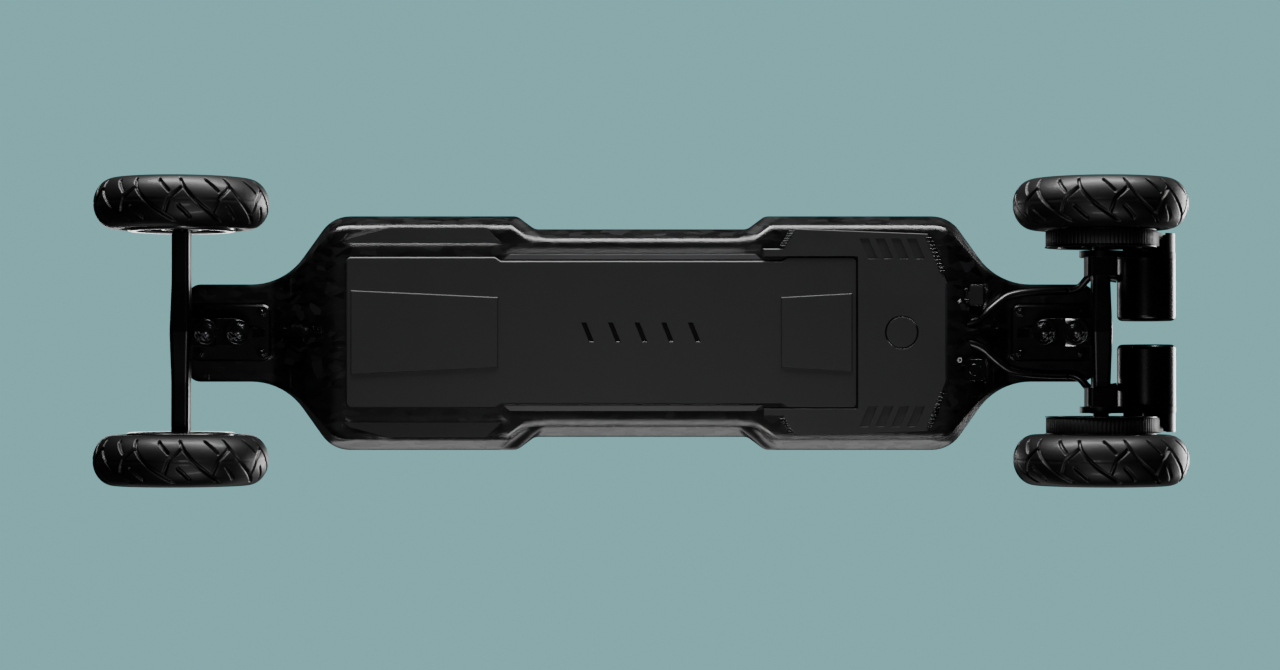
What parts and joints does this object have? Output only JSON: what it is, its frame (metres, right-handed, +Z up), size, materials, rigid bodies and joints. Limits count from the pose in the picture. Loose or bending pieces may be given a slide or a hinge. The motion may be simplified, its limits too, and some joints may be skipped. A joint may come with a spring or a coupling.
{
  "type": "electric skateboard",
  "caption": "All-terrain electric skateboard: carbon deck with sealed battery tub, double-pivot trucks, pneumatic tyres and belt-driven rear wheels.",
  "frame": {"origin": "on the ground, midway between the axles and the wheels", "axes": "+X to the nose, +Y to the rider's left, +Z up"},
  "size_m": [1.099, 0.308, 0.175],
  "materials": {
    "carbon_deck": "gloss",
    "grip": "matte",
    "cover_plastic": "matte",
    "rail_gloss": "gloss",
    "cell_wrap": "satin",
    "circuit": "satin",
    "potted_block": "satin",
    "port_plastic": "satin",
    "flap_rubber": "matte",
    "button_plastic": "satin",
    "black_fasteners": "satin",
    "cable_sheath": "satin",
    "truck_metal": "satin",
    "bushing_rubber": "satin",
    "axle_steel": "satin",
    "tyre_rubber": "matte",
    "tube_rubber": "matte",
    "hub_plastic": "satin",
    "bearing_steel": "bright",
    "pulley_metal": "anodised",
    "belt_rubber": "matte",
    "motor_paint": "satin",
    "mount_metal": "anodised",
    "iron_core": "plain",
    "rotor_steel": "satin"
  },
  "bodies": {
    "deck": {"deck_shell": "carbon_deck", "grip_sheet": "grip", "battery_cover": "cover_plastic", "controller_cover": "cover_plastic", "side_inlays": "cover_plastic", "side_rails": "rail_gloss", "battery_cells": "cell_wrap", "bms_board": "circuit", "controller_board": "potted_block", "charge_socket": "port_plastic", "button_bezel": "port_plastic", "truck_bolts": "black_fasteners", "motor_cables": "cable_sheath", "front_baseplate": "truck_metal", "rear_baseplate": "truck_metal"},
    "charge_flap": {"charge_flap": "flap_rubber"},
    "power_button": {"power_button": "button_plastic"},
    "front_link": {"front_link": "truck_metal", "front_kingpins": "black_fasteners", "front_bushings": "bushing_rubber"},
    "front_hanger": {"front_hanger": "truck_metal", "front_axle": "axle_steel", "front_axle_nuts": "black_fasteners"},
    "front_left_wheel": {"front_left_tyre": "tyre_rubber", "front_left_tube": "tube_rubber", "front_left_hub": "hub_plastic", "front_left_bearings": "bearing_steel"},
    "front_right_wheel": {"front_right_tyre": "tyre_rubber", "front_right_tube": "tube_rubber", "front_right_hub": "hub_plastic", "front_right_bearings": "bearing_steel"},
    "rear_link": {"rear_link": "truck_metal", "rear_kingpins": "black_fasteners", "rear_bushings": "bushing_rubber"},
    "rear_hanger": {"rear_hanger": "truck_metal", "rear_axle": "axle_steel", "rear_axle_nuts": "black_fasteners", "motor_leads": "cable_sheath", "left_belt": "belt_rubber", "left_motor_mount": "mount_metal", "left_motor_can": "motor_paint", "left_stator": "iron_core", "right_belt": "belt_rubber", "right_motor_mount": "mount_metal", "right_motor_can": "motor_paint", "right_stator": "iron_core"},
    "rear_left_wheel": {"rear_left_tyre": "tyre_rubber", "rear_left_tube": "tube_rubber", "rear_left_hub": "hub_plastic", "rear_left_bearings": "bearing_steel", "left_drive_pulley": "pulley_metal"},
    "rear_right_wheel": {"rear_right_tyre": "tyre_rubber", "rear_right_tube": "tube_rubber", "rear_right_hub": "hub_plastic", "rear_right_bearings": "bearing_steel", "right_drive_pulley": "pulley_metal"},
    "left_rotor": {"left_rotor": "rotor_steel", "left_motor_pulley": "pulley_metal"},
    "right_rotor": {"right_rotor": "rotor_steel", "right_motor_pulley": "pulley_metal"}
  },
  "joints": [
    {"name": "front_link_steer", "type": "hinge", "parent": "deck", "child": "front_link", "pos_m": [0.41397, 0, 0.1099], "axis": [0.4226, 0, 0.9063], "range_deg": [-8, 8], "stiffness_Nm_per_rad": 90},
    {"name": "front_hanger_steer", "type": "hinge", "parent": "front_link", "child": "front_hanger", "pos_m": [0.44478, 0, 0.09553], "axis": [0.4226, 0, 0.9063], "range_deg": [-8, 8], "stiffness_Nm_per_rad": 90},
    {"name": "front_left_wheel_spin", "type": "hinge", "parent": "front_hanger", "child": "front_left_wheel", "pos_m": [0.462, 0.1285, 0.0875], "axis": [0, 1, 0], "continuous": true},
    {"name": "front_right_wheel_spin", "type": "hinge", "parent": "front_hanger", "child": "front_right_wheel", "pos_m": [0.462, -0.1285, 0.0875], "axis": [0, 1, 0], "continuous": true},
    {"name": "rear_link_steer", "type": "hinge", "parent": "deck", "child": "rear_link", "pos_m": [-0.41397, 0, 0.1099], "axis": [-0.4226, 0, 0.9063], "range_deg": [-8, 8], "stiffness_Nm_per_rad": 90},
    {"name": "rear_hanger_steer", "type": "hinge", "parent": "rear_link", "child": "rear_hanger", "pos_m": [-0.44478, 0, 0.09553], "axis": [-0.4226, 0, 0.9063], "range_deg": [-8, 8], "stiffness_Nm_per_rad": 90, "deforming": ["motor_leads"]},
    {"name": "rear_left_wheel_spin", "type": "hinge", "parent": "rear_hanger", "child": "rear_left_wheel", "pos_m": [-0.462, 0.1285, 0.0875], "axis": [0, 1, 0], "continuous": true},
    {"name": "rear_right_wheel_spin", "type": "hinge", "parent": "rear_hanger", "child": "rear_right_wheel", "pos_m": [-0.462, -0.1285, 0.0875], "axis": [0, 1, 0], "continuous": true},
    {"name": "left_motor_spin", "type": "hinge", "parent": "rear_hanger", "child": "left_rotor", "pos_m": [-0.516, 0.05, 0.1335], "axis": [0, 1, 0], "continuous": true},
    {"name": "right_motor_spin", "type": "hinge", "parent": "rear_hanger", "child": "right_rotor", "pos_m": [-0.516, -0.05, 0.1335], "axis": [0, 1, 0], "continuous": true},
    {"name": "charge_flap_open", "type": "hinge", "parent": "deck", "child": "charge_flap", "pos_m": [-0.3315, 0.038, 0.126], "axis": [0, -1, 0], "range_deg": [0, 100]},
    {"name": "power_button_press", "type": "slide", "parent": "deck", "child": "power_button", "axis": [0, 0, 1], "range_m": [0, 0.0011], "stiffness_N_per_m": 600}
  ],
  "couplings": [
    {"joint": "left_motor_spin", "follows": "rear_left_wheel_spin", "ratio": 3.6667},
    {"joint": "right_motor_spin", "follows": "rear_right_wheel_spin", "ratio": 3.6667}
  ]
}
